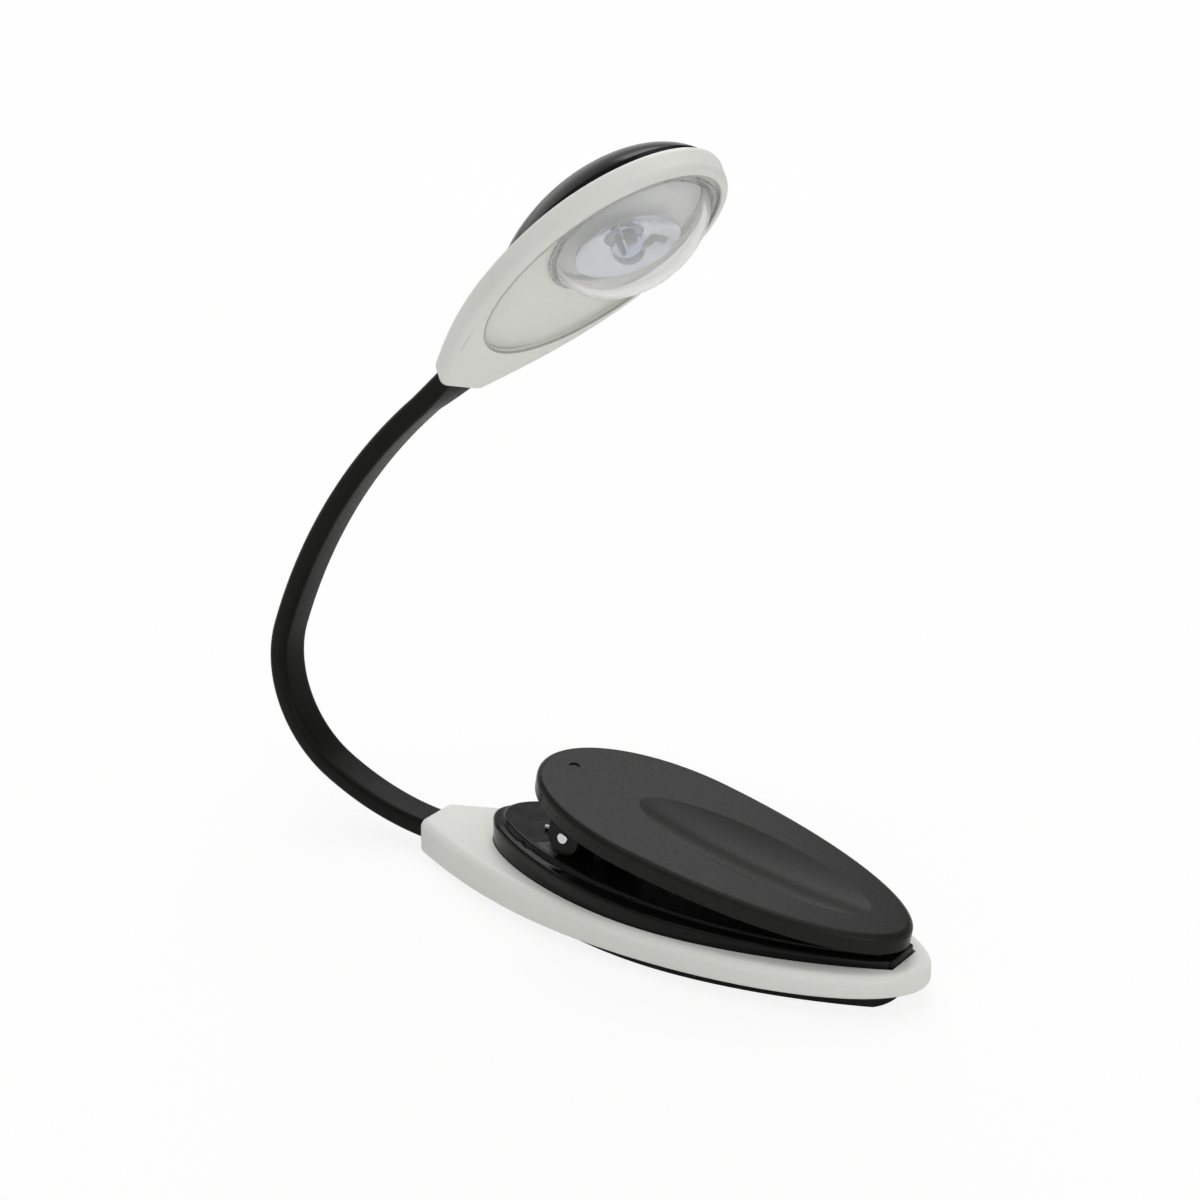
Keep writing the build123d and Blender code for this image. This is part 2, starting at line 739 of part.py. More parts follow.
def head_section(x):
    """Cross-section plane of the head, its normal along the head."""
    return Plane(origin=head_plane.from_local_coords((x, 0, 0)), x_dir=head_plane.y_dir, z_dir=head_along)


# Neck: root in the base, links that turn on each other, tip in the head
link_pitch = (neck_length - neck_first_joint) / neck_links
joints = [neck_first_joint + link_pitch * n for n in range(neck_links)] + [neck_length]
neck_root = neck_piece(-neck_plug, joints[0], socket=False, knuckle=True)
neck_root.label = "neck_root"
export_step(neck_root, "parts/neck_root.step")
for n in range(neck_links):
    last = n + 1 == neck_links
    with BuildPart() as link:
        add(neck_piece(joints[n], joints[n + 1], socket=True, knuckle=not last))
        if last:
            # bore in which the head swivels
            with BuildSketch(head_section(twist_gap - neck_tip_length)):
                Circle(swivel_radius + pin_fit)
            extrude(amount=-swivel_length - 2 * twist_gap, mode=Mode.SUBTRACT)
    link.part.label = f"neck_link_{n + 1}"
    export_step(link.part, f"parts/neck_link_{n + 1}.step")

with BuildPart() as neck_tip:
    with BuildSketch(head_section(twist_gap - neck_tip_length)):
        RectangleRounded(neck_width, neck_thickness, neck_corner)
    extrude(amount=neck_tip_length - twist_gap)
    with BuildSketch(head_section(twist_gap - neck_tip_length)):
        Circle(swivel_radius)
    extrude(amount=-swivel_length - twist_gap)
    with BuildSketch(head_section(0)):
        RectangleRounded(neck_width - 2 * tenon_step, neck_thickness - 2 * tenon_step, tenon_corner)
    extrude(amount=neck_plug)
neck_tip.part.label = "neck_tip"
export_step(neck_tip.part, "parts/neck_tip.step")

# Sizes of the head's openings
lens_share = sqrt(1 - (lens_rise / lens_radius) ** 2)
mouth_length = lens_half_length * lens_share
mouth_half = lens_radius * lens_share
cap_bottom = head_top - cap_seat
recess_floor = cap_bottom - cap_travel - cap_clearance
cap_half = head_half - head_wall
cap_end = head_length - head_wall
board_start = cap_start + board_gap
board_top = shelf_height + board_thickness
board_screw_x = board_start + board_screw_inset

# White frame of the head: collar, cap recess, board shelf, lens mouth and scooped underside
with BuildPart() as head_frame:
    outline = leaf(head_plane.offset(-head_top), 0, head_collar_half, head_widest, head_half, head_length)
    extrude(outline, amount=head_rim)
    fillet(head_frame.edges().filter_by(head_axis), radius=corner_round)
    fillet(head_frame.faces().sort_by(head_axis)[-1].edges(), radius=head_round)
    fillet(head_frame.faces().sort_by(head_axis)[0].edges(), radius=head_round)
    extrude(
        egg(head_plane.offset(recess_floor), cap_start - cap_clearance, head_widest, cap_half, cap_end),
        amount=head_rim,
        mode=Mode.SUBTRACT,
    )
    shelf = head_plane.offset(shelf_height)
    extrude(
        egg(shelf, cap_start + head_ledge, head_widest, cap_half - head_ledge, cap_end - head_ledge),
        amount=head_rim,
        mode=Mode.SUBTRACT,
    )
    extrude(
        egg(under_plane, step_start, head_widest, head_half - step_inset, head_length - step_inset),
        amount=head_rim,
        mode=Mode.SUBTRACT,
    )
    with BuildSketch(under_plane):
        with Locations((lens_middle, 0)):
            Ellipse(mouth_length + lens_fit, mouth_half + lens_fit)
    extrude(amount=-head_rim, mode=Mode.SUBTRACT)
    scoop_start = scoop_middle - scoop_half_length
    scoop_end = scoop_middle + scoop_half_length
    add(dish(under_plane, scoop_start, scoop_end, scoop_depth, scoop_half), mode=Mode.SUBTRACT)
    with BuildSketch(head_section(0)):
        mortise = 2 * (tenon_step - neck_fit)
        RectangleRounded(neck_width - mortise, neck_thickness - mortise, tenon_corner)
    extrude(amount=neck_plug, mode=Mode.SUBTRACT)
    with BuildSketch(head_section(neck_plug)):
        with Locations((0, lead_height)):
            SlotOverall(channel_width, channel_height)
    extrude(amount=cap_start + 2 * head_ledge - neck_plug, mode=Mode.SUBTRACT)
    with BuildSketch(head_plane.offset(shelf_height)):
        with Locations((board_screw_x, -board_screw_half), (board_screw_x, board_screw_half)):
            Circle(board_screw_radius + screw_fit)
    extrude(amount=-board_screw_length + board_thickness - screw_sink, mode=Mode.SUBTRACT)
head_frame.part.label = "head_frame"
export_step(head_frame.part, "parts/head_frame.step")

# Black domed cap of the head, the push button of the switch
dome_radius = (cap_half**2 + cap_bulge**2) / (2 * cap_bulge)
dome_middle = (cap_start + cap_end) / 2
dome_drop = dome_radius - cap_bulge
dome_share = sqrt(1 - ((cap_edge + dome_drop) / dome_radius) ** 2)
dome_length = (cap_end - cap_start) / 2 / dome_share
dome_plane = head_plane.offset(head_top)


def cap_body(shrink):
    """Domed block on the cap's outline, drawn in all round by a wall."""
    with BuildPart() as body:
        outline = egg(
            head_plane.offset(cap_bottom),
            cap_start + shrink,
            head_widest,
            cap_half - cap_clearance - shrink,
            cap_end - cap_clearance - shrink,
        )
        add(spheroid(dome_plane, dome_middle, -dome_drop, dome_length - shrink, dome_radius - shrink))
        extrude(outline, amount=cap_seat + 2 * cap_bulge, mode=Mode.INTERSECT)
    return body.part


with BuildPart() as head_cap:
    add(cap_body(0))
    add(cap_body(cap_wall), mode=Mode.SUBTRACT)
    # notch that passes over the wires when the cap is pressed
    with BuildSketch(head_section(cap_start - cap_clearance)):
        with Locations((0, lead_height)):
            Rectangle(channel_width + 2 * cap_clearance, 2 * (wire_radius + cap_travel + cap_clearance))
    extrude(amount=cap_wall + 2 * cap_clearance, mode=Mode.SUBTRACT)
head_cap.part.label = "head_cap"
export_step(head_cap.part, "parts/head_cap.step")


def lens_ellipse(grow):
    """Ellipse of the lens mouth on the head's underside."""
    with BuildSketch(under_plane) as outline:
        with Locations((lens_middle, 0)):
            Ellipse(mouth_length + grow, mouth_half + grow)
    return outline.sketch


def lens_bowl(shrink):
    """Part of the lens's spheroid that hangs below the head's underside."""
    with BuildPart() as body:
        add(spheroid(under_plane, lens_middle, -lens_rise, lens_half_length - shrink, lens_radius - shrink))
        split(bisect_by=under_plane, keep=Keep.TOP)
    return body.part


# Clear lens: domed shell, outer flange and a wall that carries the board's edge
lens_wall_height = head_top - step_depth + shelf_height
with BuildPart() as lens:
    add(lens_bowl(0))
    extrude(lens_ellipse(lens_flange), amount=lens_flange_thickness)
    extrude(lens_ellipse(0), amount=-lens_wall_height)
    add(lens_bowl(lens_wall), mode=Mode.SUBTRACT)
    extrude(lens_ellipse(-lens_wall), amount=-lens_wall_height, mode=Mode.SUBTRACT)
lens.part.label = "lens"
export_step(lens.part, "parts/lens.step")

# Circuit board on the frame's shelf and the lens's wall
with BuildPart() as led_board:
    board_end = lens_middle + mouth_length - lens_wall
    shelf = head_plane.offset(shelf_height)
    extrude(egg(shelf, board_start, head_widest, board_half, board_end), amount=board_thickness)
    with BuildSketch(head_plane.offset(shelf_height)):
        with Locations((board_screw_x, -board_screw_half), (board_screw_x, board_screw_half)):
            Circle(board_screw_radius + screw_fit)
    extrude(amount=board_thickness, mode=Mode.SUBTRACT)
led_board.part.label = "led_board"
export_step(led_board.part, "parts/led_board.step")

# Board screws, driven from the cap's side
with BuildPart() as board_screws:
    for side in (-board_screw_half, board_screw_half):
        crown = head_plane.from_local_coords((board_screw_x, side, board_top + board_screw_head / 2))
        seat = Plane(origin=crown, x_dir=head_along, z_dir=-head_up)
        add(screw(seat, board_screw_head, board_screw_head / 2, board_screw_radius, board_screw_length))
board_screws.part.label = "board_screws"
export_step(board_screws.part, "parts/board_screws.step")

# Lamp on the board's underside and the bright dish round it
led_point = head_plane.from_local_coords((led_station, 0, shelf_height))
led_plane = Plane(origin=led_point, x_dir=head_along, z_dir=-head_up)
with BuildPart() as led:
    with BuildSketch(led_plane):
        Circle(led_radius + led_flange)
    extrude(amount=led_flange)
    with BuildSketch(led_plane):
        Circle(led_radius)
    extrude(amount=led_height)
    fillet(led.edges().sort_by(Axis(led_plane.origin, led_plane.z_dir))[-1], radius=led_round)
led.part.label = "led"
export_step(led.part, "parts/led.step")

dish_inner = led_radius + led_flange + lens_fit
dish_side = Plane(origin=led_plane.origin, x_dir=head_along, z_dir=head_along.cross(led_plane.z_dir))
with BuildPart() as reflector:
    with BuildSketch(dish_side):
        with BuildLine():
            dish_belly = Vector((dish_inner + reflector_radius) / 2, reflector_depth / 3)
            thick = Vector(0, reflector_wall)
            lip = Vector(reflector_radius, reflector_depth)
            hub = Vector(dish_inner, 0)
            ThreePointArc(hub, dish_belly, lip)
            Line(lip, lip + thick)
            ThreePointArc(lip + thick, dish_belly + thick, hub + thick)
            Line(hub + thick, hub)
        make_face()
    revolve(axis=Axis(led_plane.origin, led_plane.z_dir))
reflector.part.label = "reflector"
export_step(reflector.part, "parts/reflector.step")

# Push switch on the board and its plunger, which follows the cap
plunger_bottom = board_top + switch_floor + cap_travel + cap_clearance
plunger_top = head_top + cap_bulge - cap_wall - cap_touch
with BuildPart() as switch_body:
    with BuildSketch(head_plane.offset(board_top)):
        with Locations((dome_middle, 0)):
            RectangleRounded(switch_side, switch_side, switch_floor)
    extrude(amount=switch_height)
    with BuildSketch(head_plane.offset(board_top + switch_floor)):
        with Locations((dome_middle, 0)):
            Circle(plunger_radius + pin_fit)
    extrude(amount=switch_height, mode=Mode.SUBTRACT)
switch_body.part.label = "switch_body"
export_step(switch_body.part, "parts/switch_body.step")

with BuildPart() as switch_plunger:
    with BuildSketch(head_plane.offset(plunger_bottom)):
        with Locations((dome_middle, 0)):
            Circle(plunger_radius)
    extrude(amount=plunger_top - plunger_bottom)
switch_plunger.part.label = "switch_plunger"
export_step(switch_plunger.part, "parts/switch_plunger.step")

# Two wires at each end of the neck
tab_height = roof_top + wire_radius + cell_play
lead_side = boss_radius + 2 * wire_radius
with BuildPart() as base_leads:
    for side in (-1, 1):
        start = neck_place(-neck_plug)[0] + Vector(0, side * lead_half, 0)
        channel_end = neck_place(-collar_length - 2 * shell_wall)[0] + Vector(0, side * lead_half, 0)
        past_boss = Vector(screw_places[0], side * lead_side, (channel_end.Z + tab_height) / 2)
        on_roof = Vector(cell_ends[0] - well_outside - wire_radius, side * lead_side, tab_height)
        points = [start, channel_end, past_boss, on_roof]
        if side > 0:
            tab_x = cell_ends[1] - contact_tab - contact_thickness / 2 - wire_radius
            points.append(Vector(tab_x - lead_side, lead_side, tab_height))
            points.append(Vector(tab_x, lead_half, tab_height))
        else:
            tab_x = cell_ends[0] - cell_diameter / 2 - cell_play - contact_thickness - wire_radius
            points[-1] = Vector(tab_x, -lead_half, tab_height)
        add(wire(points, lead_bend))
base_leads.part.label = "base_leads"
export_step(base_leads.part, "parts/base_leads.step")

with BuildPart() as head_leads:
    for side in (-lead_half, lead_half):
        landing = board_top + wire_radius + cell_play
        places = [
            (neck_plug, side, lead_height),
            (cap_start + head_ledge, side, lead_height),
            (board_start - wire_radius, side, landing),
            (board_start + 2 * head_ledge, side, landing),
        ]
        add(wire([head_plane.from_local_coords(place) for place in places], lead_bend))
head_leads.part.label = "head_leads"
export_step(head_leads.part, "parts/head_leads.step")
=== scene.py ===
import math
import bpy
import bmesh
from mathutils import Matrix, Vector


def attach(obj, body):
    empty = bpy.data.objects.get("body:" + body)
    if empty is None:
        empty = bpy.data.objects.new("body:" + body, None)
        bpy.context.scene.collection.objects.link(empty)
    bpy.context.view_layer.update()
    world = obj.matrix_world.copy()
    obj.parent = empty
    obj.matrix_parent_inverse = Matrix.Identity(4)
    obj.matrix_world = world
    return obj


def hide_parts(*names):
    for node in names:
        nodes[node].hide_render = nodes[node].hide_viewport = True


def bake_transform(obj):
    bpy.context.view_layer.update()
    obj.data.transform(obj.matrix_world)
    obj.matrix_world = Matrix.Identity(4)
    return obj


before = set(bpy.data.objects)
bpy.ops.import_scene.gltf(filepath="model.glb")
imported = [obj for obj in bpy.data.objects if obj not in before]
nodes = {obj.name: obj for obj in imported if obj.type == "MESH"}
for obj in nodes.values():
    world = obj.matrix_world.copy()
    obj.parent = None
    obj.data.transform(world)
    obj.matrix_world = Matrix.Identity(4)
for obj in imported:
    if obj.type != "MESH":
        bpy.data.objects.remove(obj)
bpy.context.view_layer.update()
mm = 0.001
mergeDist, cutDist = 0.002 * mm, 0.001 * mm
print("frame loaded:", len(nodes), "nodes")


def hexColour(code):
    parts = [int(code[i:i + 2], 16) / 255 for i in (1, 3, 5)]
    return [c / 12.92 if c <= 0.04045 else ((c + 0.055) / 1.055) ** 2.4 for c in parts] + [1.0]


def addNode(tree, kind, settings=None, links=None):
    node = tree.nodes.new(kind)
    for key, value in (settings or {}).items():
        if isinstance(key, int) or key in node.inputs:
            node.inputs[key].default_value = value
        else:
            setattr(node, key, value)
    for key, socket in (links or {}).items():
        tree.links.new(socket, node.inputs[key])
    return node


# parts of what a bmesh operator gives back
def vertsOf(geom):
    return [v for v in geom if isinstance(v, bmesh.types.BMVert)]


def edgesOf(geom):
    return [e for e in geom if isinstance(e, bmesh.types.BMEdge)]


def ringVerts(ring):
    return list({v for e in ring for v in e.verts})


def wholeMesh(bm):
    return bm.verts[:] + bm.edges[:] + bm.faces[:]


def newMaterial(name):
    material = bpy.data.materials.new(name)
    material.use_nodes = True
    return material, material.node_tree, material.node_tree.nodes["Principled BSDF"]


# moulded plastic and rubber: the tool's grain gives a fine bump, the melt a slow drift of shade,
# and handling leaves thin rubbed lines that change only the gloss; real grain is too fine to show
# here, so grainMm is drawn coarser
moulding = {"speck": 0.35, "speckDrop": -0.17, "rubTurn": (0.2, 0.5, 0.9), "rubMm": (0.12, 9, 9),
            "rubFrom": 0.62, "rubFull": 0.75, "rub": 0.04}
noiseLow, noiseHigh = 0.3, 0.7  # where most of a noise lies


def mouldedMaterial(name, look):
    material, tree, shader = newMaterial(name)
    coords = addNode(tree, "ShaderNodeTexCoord").outputs["Object"]
    grain = addNode(tree, "ShaderNodeTexNoise", {"Scale": 1 / (look["grainMm"] * mm), "Detail": 3.0},
                    {"Vector": coords})
    drift = addNode(tree, "ShaderNodeTexNoise", {"Scale": 1 / (look["driftMm"] * mm), "Detail": 2.0},
                    {"Vector": coords})
    speck = addNode(tree, "ShaderNodeMath",
                    {"operation": "MULTIPLY_ADD", 1: moulding["speck"], 2: moulding["speckDrop"]},
                    {0: grain.outputs["Fac"]})
    tone = addNode(tree, "ShaderNodeMath", {"operation": "ADD", "use_clamp": True},
                   {0: drift.outputs["Fac"], 1: speck.outputs["Value"]})
    shade = addNode(tree, "ShaderNodeMix",
                    {"data_type": "RGBA", 6: hexColour(look["dark"]), 7: hexColour(look["light"])},
                    {0: tone.outputs["Value"]})
    gloss = addNode(tree, "ShaderNodeMapRange", {"From Min": noiseLow, "From Max": noiseHigh,
                    "To Min": look["roughLow"], "To Max": look["roughHigh"]}, {"Value": grain.outputs["Fac"]})
    rubbed = addNode(tree, "ShaderNodeMapping", {"Rotation": moulding["rubTurn"],
                     "Scale": [1 / (size * mm) for size in moulding["rubMm"]]}, {"Vector": coords})
    lines = addNode(tree, "ShaderNodeTexNoise", {"Scale": 1.0, "Detail": 1.0},
                    {"Vector": rubbed.outputs["Vector"]})
    mark = addNode(tree, "ShaderNodeMapRange", {"From Min": moulding["rubFrom"], "From Max": moulding["rubFull"],
                   "To Min": 0.0, "To Max": look.get("rub", moulding["rub"])}, {"Value": lines.outputs["Fac"]})
    rough = addNode(tree, "ShaderNodeMath", {"operation": "ADD"},
                    {0: gloss.outputs["Result"], 1: mark.outputs["Result"]})
    bump = addNode(tree, "ShaderNodeBump", {"Strength": look["bump"], "Distance": look["grainDepthMm"] * mm},
                   {"Height": grain.outputs["Fac"]})
    tree.links.new(shade.outputs[2], shader.inputs["Base Color"])
    tree.links.new(rough.outputs["Value"], shader.inputs["Roughness"])
    tree.links.new(bump.outputs["Normal"], shader.inputs["Normal"])
    shader.inputs["IOR"].default_value = look["ior"]
    return material


# plated or drawn metal: fine draw lines roughen it, drawn coarser than real so that they show
drawLineDepth = 0.01  # mm


def metalMaterial(name, look):
    material, tree, shader = newMaterial(name)
    coords = addNode(tree, "ShaderNodeTexCoord").outputs["Object"]
    stretch = [1 / (size * mm) for size in look["lineMm"]]
    lines = addNode(tree, "ShaderNodeMapping", {"Scale": stretch}, {"Vector": coords})
    noise = addNode(tree, "ShaderNodeTexNoise", {"Scale": 1.0, "Detail": 4.0},
                    {"Vector": lines.outputs["Vector"]})
    shade = addNode(tree, "ShaderNodeMix",
                    {"data_type": "RGBA", 6: hexColour(look["dark"]), 7: hexColour(look["light"])},
                    {0: noise.outputs["Fac"]})
    rough = addNode(tree, "ShaderNodeMapRange", {"From Min": noiseLow, "From Max": noiseHigh,
                    "To Min": look["roughLow"], "To Max": look["roughHigh"]}, {"Value": noise.outputs["Fac"]})
    bump = addNode(tree, "ShaderNodeBump", {"Strength": look["bump"], "Distance": drawLineDepth * mm},
                   {"Height": noise.outputs["Fac"]})
    tree.links.new(shade.outputs[2], shader.inputs["Base Color"])
    tree.links.new(rough.outputs["Result"], shader.inputs["Roughness"])
    tree.links.new(bump.outputs["Normal"], shader.inputs["Normal"])
    shader.inputs["Metallic"].default_value = 1.0
    return material


# clear moulded polycarbonate or epoxy: see-through, with the faint waves of the melt
meltWaveDepth = 0.02  # mm


def clearMaterial(name, look):
    material, tree, shader = newMaterial(name)
    coords = addNode(tree, "ShaderNodeTexCoord").outputs["Object"]
    waves = addNode(tree, "ShaderNodeTexNoise", {"Scale": 1 / (look["waveMm"] * mm), "Detail": 1.0},
                    {"Vector": coords})
    haze = addNode(tree, "ShaderNodeMapRange", {"From Min": noiseLow, "From Max": noiseHigh,
                   "To Min": look["roughLow"], "To Max": look["roughHigh"]}, {"Value": waves.outputs["Fac"]})
    bump = addNode(tree, "ShaderNodeBump", {"Strength": look["bump"], "Distance": meltWaveDepth * mm},
                   {"Height": waves.outputs["Fac"]})
    tree.links.new(bump.outputs["Normal"], shader.inputs["Normal"])
    tree.links.new(haze.outputs["Result"], shader.inputs["Roughness"])
    shader.inputs["Base Color"].default_value = hexColour(look["colour"])
    shader.inputs["IOR"].default_value = look["ior"]
    shader.inputs["Transmission Weight"].default_value = look["clear"]
    return material


# ior is below the plastic's own 1.5 where the real blacks look deeper than that would give
finishes = {
    "whiteAbs": mouldedMaterial("whiteAbsSatin", {  # ABS, satin tool: warm light grey, soft wide highlights
        "dark": "#D8D8D2", "light": "#E6E6E1", "grainMm": 0.35, "driftMm": 22, "grainDepthMm": 0.02,
        "bump": 0.12, "roughLow": 0.36, "roughHigh": 0.48, "ior": 1.5}),
    "glossBlackAbs": mouldedMaterial("blackAbsPolished", {  # ABS, polished tool: deep black, faint orange peel
        "dark": "#0A0A0A", "light": "#111110", "grainMm": 2.2, "driftMm": 30, "grainDepthMm": 0.03,
        "bump": 0.05, "roughLow": 0.14, "roughHigh": 0.22, "rub": 0.1, "ior": 1.24}),
    "mattBlackAbs": mouldedMaterial("blackAbsSparkEroded", {  # spark-eroded tool: dull charcoal, drawn coarse
        "dark": "#181817", "light": "#222221", "grainMm": 0.4, "driftMm": 25, "grainDepthMm": 0.04,
        "bump": 0.15, "roughLow": 0.2, "roughHigh": 0.32, "rub": 0.08, "ior": 1.2}),
    "coverAbs": mouldedMaterial("blackAbsCover", {  # underside, the same grain a little darker
        "dark": "#151514", "light": "#1D1D1C", "grainMm": 0.5, "driftMm": 25, "grainDepthMm": 0.05,
        "bump": 0.3, "roughLow": 0.45, "roughHigh": 0.6, "ior": 1.25}),
    "sleeveRubber": mouldedMaterial("blackRubberSleeve", {  # extruded rubber: near black with a dull sheen
        "dark": "#0A0A09", "light": "#121211", "grainMm": 0.5, "driftMm": 12, "grainDepthMm": 0.03,
        "bump": 0.2, "roughLow": 0.32, "roughHigh": 0.46, "ior": 1.19}),
    "padRubber": mouldedMaterial("softRubberPad", {  # soft moulded rubber: dry and dull, takes dust
        "dark": "#1C1C1B", "light": "#282827", "grainMm": 0.6, "driftMm": 8, "grainDepthMm": 0.05,
        "bump": 0.3, "roughLow": 0.62, "roughHigh": 0.78, "ior": 1.5}),
    "paintedSeamShade": mouldedMaterial("paintedSeamShadeGrey", {  # painted shade: a grey strip standing for the shadow in the gap between two mouldings
        "dark": "#A9A9A4", "light": "#B9B9B4", "grainMm": 0.3, "driftMm": 5, "grainDepthMm": 0.02,
        "bump": 0.1, "roughLow": 0.6, "roughHigh": 0.7, "ior": 1.4}),
    "switchNylon": mouldedMaterial("blackNylonSwitch", {  # moulded nylon: waxy black
        "dark": "#1A1A19", "light": "#252524", "grainMm": 0.3, "driftMm": 6, "grainDepthMm": 0.02,
        "bump": 0.2, "roughLow": 0.4, "roughHigh": 0.5, "ior": 1.53}),
    "boardLaminate": mouldedMaterial("whiteSolderMask", {  # lacquered glass laminate: the weave faintly shows
        "dark": "#E9EBEA", "light": "#F4F5F4", "grainMm": 0.6, "driftMm": 5, "grainDepthMm": 0.02,
        "bump": 0.15, "roughLow": 0.3, "roughHigh": 0.4, "ior": 1.5}),
    "wirePvc": mouldedMaterial("redPvcWire", {  # extruded vinyl cover: smooth, slightly waxy red
        "dark": "#7A1512", "light": "#8E1C17", "grainMm": 0.4, "driftMm": 6, "grainDepthMm": 0.02,
        "bump": 0.1, "roughLow": 0.35, "roughHigh": 0.45, "ior": 1.54}),
    "pinSteel": metalMaterial("nickelPlatedPin", {  # ground and plated steel: bright, faint turning lines
        "dark": "#C9C9CB", "light": "#DEDEE0", "lineMm": (0.2, 3.0, 0.2),
        "roughLow": 0.1, "roughHigh": 0.2, "bump": 0.1}),
    "springWire": metalMaterial("drawnSpringWire", {  # drawn spring steel: grey, die lines along the wire
        "dark": "#A9A9AC", "light": "#C0C0C3", "lineMm": (0.3, 0.3, 0.3),
        "roughLow": 0.22, "roughHigh": 0.34, "bump": 0.1}),
    "screwZinc": metalMaterial("zincPlatedScrew", {  # zinc plate: cool grey, slightly cloudy
        "dark": "#9C9DA0", "light": "#B6B7BA", "lineMm": (0.4, 0.4, 0.4),
        "roughLow": 0.25, "roughHigh": 0.4, "bump": 0.1}),
    "cellNickel": metalMaterial("nickelPlatedCan", {  # drawn nickel-plated can: warm silver, draw lines
        "dark": "#B9B8B4", "light": "#CFCECA", "lineMm": (6.0, 0.3, 6.0),
        "roughLow": 0.18, "roughHigh": 0.3, "bump": 0.1}),
    "contactBrass": metalMaterial("platedSpringBrass", {  # rolled brass: pale gold, lines along the strip
        "dark": "#B9A878", "light": "#CDBD8E", "lineMm": (4.0, 0.3, 0.3),
        "roughLow": 0.22, "roughHigh": 0.35, "bump": 0.1}),
    "leadFrame": metalMaterial("silveredLeadFrame", {  # silver-plated copper: dark grey inside the lamp
        "dark": "#5C5E63", "light": "#7D8086", "lineMm": (0.4, 0.4, 0.4),
        "roughLow": 0.3, "roughHigh": 0.45, "bump": 0.1}),
    "brightDish": metalMaterial("metallisedPlastic", {  # vacuum-metallised plastic: bright with a cold tint
        "dark": "#D6DDE8", "light": "#EDF2FA", "lineMm": (1.5, 1.5, 1.5),
        "roughLow": 0.1, "roughHigh": 0.2, "bump": 0.05}),
    "lensClear": clearMaterial("clearPolycarbonate", {  # thin shell, slightly milky: the lamp shows soft
        "colour": "#FCFCFB", "waveMm": 9, "bump": 0.1, "roughLow": 0.01, "roughHigh": 0.05, "ior": 1.2,
        "clear": 0.78}),
    "lampEpoxy": clearMaterial("clearEpoxyLamp", {  # cast epoxy: water clear with a blue tint
        "colour": "#DCE8FF", "waveMm": 2, "bump": 0.1, "roughLow": 0.0, "roughHigh": 0.04, "ior": 1.45,
        "clear": 1.0}),
}
nodeFinish = {
    "base_frame": "whiteAbs", "head_frame": "whiteAbs",
    "top_housing": "glossBlackAbs", "head_cap": "glossBlackAbs", "clip_lever": "mattBlackAbs",
    "bottom_cover": "coverAbs", "battery_door": "coverAbs", "jaw_pad": "padRubber",
    "hinge_pin": "pinSteel", "clip_spring": "springWire", "coin_cells": "cellNickel",
    "door_screw": "screwZinc", "case_screws": "screwZinc", "board_screws": "screwZinc",
    "contact_positive": "contactBrass", "contact_bridge": "contactBrass",
    "contact_negative": "contactBrass",
    "base_leads": "wirePvc", "head_leads": "wirePvc",
    "lens": "lensClear", "led": "lampEpoxy", "led_board": "boardLaminate", "reflector": "brightDish",
    "switch_body": "switchNylon", "switch_plunger": "switchNylon",
}
for name, node in nodes.items():
    finish = finishes[nodeFinish.get(name, "sleeveRubber")]  # the rest are the neck's links
    if not node.material_slots:
        node.data.materials.append(finish)
    for place in node.material_slots:
        place.material = finish
print("finishes:", len(finishes))


def makePiece(bm, name, finish, sharpAngle=40):
    bmesh.ops.remove_doubles(bm, verts=bm.verts, dist=mergeDist)
    bmesh.ops.recalc_face_normals(bm, faces=bm.faces)
    mesh = bpy.data.meshes.new(name)
    bm.to_mesh(mesh)
    bm.free()
    mesh.shade_smooth()
    mesh.set_sharp_from_angle(angle=math.radians(sharpAngle))
    piece = bpy.data.objects.new(name, mesh)
    bpy.context.scene.collection.objects.link(piece)
    mesh.materials.append(finishes[finish])
    return piece


# rubber sleeve of the neck, one length over each bend, joined in the middle of the links;
# runs are arcs of the neck's line, each a length in mm and a turn in degrees
neck = {"width": 6.1, "thickness": 3.4, "corner": 1.1, "cornerSteps": 6, "mouth": (-46.5, 4.2),
        "heading": 177, "runs": ((21, 24), (28, 83), (57, 30)), "firstJoint": 9, "links": 8,
        "bendHalf": 4.5, "stepMm": 0.6, "tip": 5, "inCollar": 3, "inHead": 1,
        "headPitch": 2, "headRoll": 22, "rollFrom": 3, "rollSteps": 16}
neckLength = sum(length for length, turn in neck["runs"])
linkPitch = (neckLength - neck["firstJoint"]) / neck["links"]
bends = [neck["firstJoint"] + linkPitch * n for n in range(neck["links"])]
corners = [sum(length for length, turn in neck["runs"][:n]) for n in range(len(neck["runs"]) + 1)]


def neckPlace(s):
    x, z = neck["mouth"]
    heading = math.radians(neck["heading"])
    left = s
    for length, turn in neck["runs"]:
        if s < 0:
            break
        step = min(left, length)
        radius = length / math.radians(turn)
        x += radius * (math.sin(heading) - math.sin(heading - step / radius))
        z += radius * (math.cos(heading - step / radius) - math.cos(heading))
        heading -= step / radius
        left -= step
    return Vector((x + left * math.cos(heading), 0, z + left * math.sin(heading))) * mm, heading


def sleeveStart(bm, s):
    point, heading = neckPlace(s)
    bmesh.ops.create_grid(bm, x_segments=1, y_segments=1, size=0.5)
    bmesh.ops.scale(bm, vec=(neck["width"] * mm, neck["thickness"] * mm, 1), verts=bm.verts)
    bmesh.ops.bevel(bm, geom=bm.verts[:], offset=neck["corner"] * mm, segments=neck["cornerSteps"],
                    profile=0.5, affect="VERTICES", material=-1)
    along = Vector((math.cos(heading), 0, math.sin(heading)))
    across = Vector((0, 1, 0))
    turn = Matrix((across, along.cross(across), along)).transposed().to_4x4()
    bmesh.ops.transform(bm, matrix=Matrix.Translation(point) @ turn, verts=bm.verts)
    return bm.edges[:]


